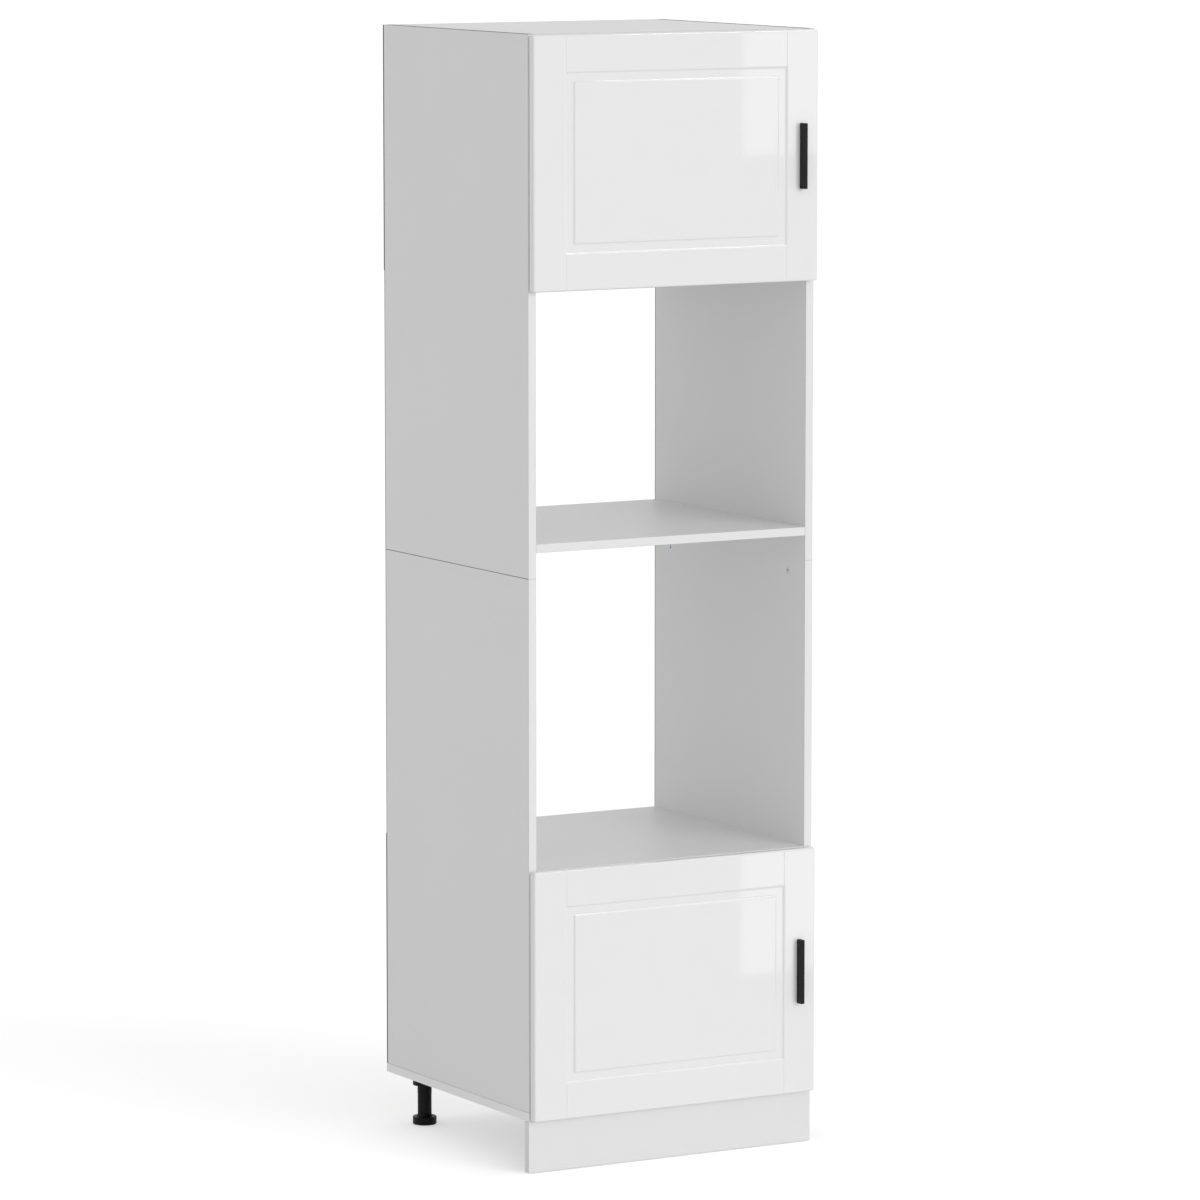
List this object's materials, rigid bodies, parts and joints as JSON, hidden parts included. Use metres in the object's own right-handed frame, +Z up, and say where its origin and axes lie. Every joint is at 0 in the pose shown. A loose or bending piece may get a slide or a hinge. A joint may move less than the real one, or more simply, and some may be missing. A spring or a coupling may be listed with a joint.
{
  "type": "tall oven housing unit",
  "caption": "Tall white kitchen housing unit with a cupboard behind a framed door at top and bottom, open bays for an oven and a microwave between them, adjustable legs and a plinth.",
  "frame": {"origin": "on the floor, under the middle of the unit's width and of its depth from the handles to the rear", "axes": "+Z up, the fronts face -Y, +X runs from the doors' hinge side to their handle side"},
  "size_m": [0.6, 0.585, 2.07],
  "materials": {
    "board": "white melamine on chipboard, slightly textured, satin",
    "hardboard": "hardboard back panel, raw grey edges and rear, lacquered white inside",
    "door": "white gloss foil pressed over a routed fibreboard door",
    "plinth": "white satin foil wrapped round a fibreboard plinth",
    "zinc": "bright zinc-plated screws and fittings",
    "steel": "nickel-plated pressed steel",
    "dowel": "raw fluted beech",
    "leg_plastic": "moulded black plastic",
    "handle": "black powder-coated bar",
    "bumper": "soft clear-white stick-on pad"
  },
  "bodies": {
    "carcass": {"left_side_lower": "board", "left_side_upper": "board", "right_side_lower": "board", "right_side_upper": "board", "bottom_panel": "board", "oven_shelf": "board", "microwave_shelf": "board", "cupboard_floor": "board", "top_panel": "board", "lower_back_panel": "hardboard", "upper_back_panel": "hardboard", "back_panel_screws": "zinc", "lower_loose_shelf": "board", "upper_loose_shelf": "board", "shelf_pins": "zinc", "cam_housings": "zinc", "cam_bolts": "steel", "dowels": "dowel", "leg_sockets": "leg_plastic", "leg_tubes": "leg_plastic", "leg_screws": "zinc", "plinth": "plinth", "plinth_clips": "leg_plastic", "plinth_clip_screws": "zinc", "wall_brackets": "zinc", "wall_bracket_screws": "zinc", "hinge_plates": "steel", "hinge_plate_screws": "zinc", "hinge_arms": "steel", "hinge_arm_screws": "zinc"},
    "lower_door": {"lower_door": "door", "lower_hinge_cups": "steel", "lower_hinge_pins": "zinc", "lower_cup_screws": "zinc", "lower_handle": "handle", "lower_handle_screws": "zinc", "lower_door_bumpers": "bumper"},
    "upper_door": {"upper_door": "door", "upper_hinge_cups": "steel", "upper_hinge_pins": "zinc", "upper_cup_screws": "zinc", "upper_handle": "handle", "upper_handle_screws": "zinc", "upper_door_bumpers": "bumper"},
    "foot_front_left": {"foot_front_left": "leg_plastic"},
    "foot_front_right": {"foot_front_right": "leg_plastic"},
    "foot_rear_left": {"foot_rear_left": "leg_plastic"},
    "foot_rear_right": {"foot_rear_right": "leg_plastic"}
  },
  "joints": [
    {"name": "lower_door_hinge", "type": "hinge", "parent": "carcass", "child": "lower_door", "pos_m": [-0.291, -0.272, 0.328], "axis": [0, 0, -1], "range_deg": [0, 95]},
    {"name": "upper_door_hinge", "type": "hinge", "parent": "carcass", "child": "upper_door", "pos_m": [-0.291, -0.272, 1.839], "axis": [0, 0, -1], "range_deg": [0, 95]},
    {"name": "foot_front_left_screw", "type": "slide", "parent": "carcass", "child": "foot_front_left", "axis": [0, 0, -1], "range_m": [0, 0.02]},
    {"name": "foot_front_right_screw", "type": "slide", "parent": "carcass", "child": "foot_front_right", "axis": [0, 0, -1], "range_m": [0, 0.02]},
    {"name": "foot_rear_left_screw", "type": "slide", "parent": "carcass", "child": "foot_rear_left", "axis": [0, 0, -1], "range_m": [0, 0.02]},
    {"name": "foot_rear_right_screw", "type": "slide", "parent": "carcass", "child": "foot_rear_right", "axis": [0, 0, -1], "range_m": [0, 0.02]}
  ]
}
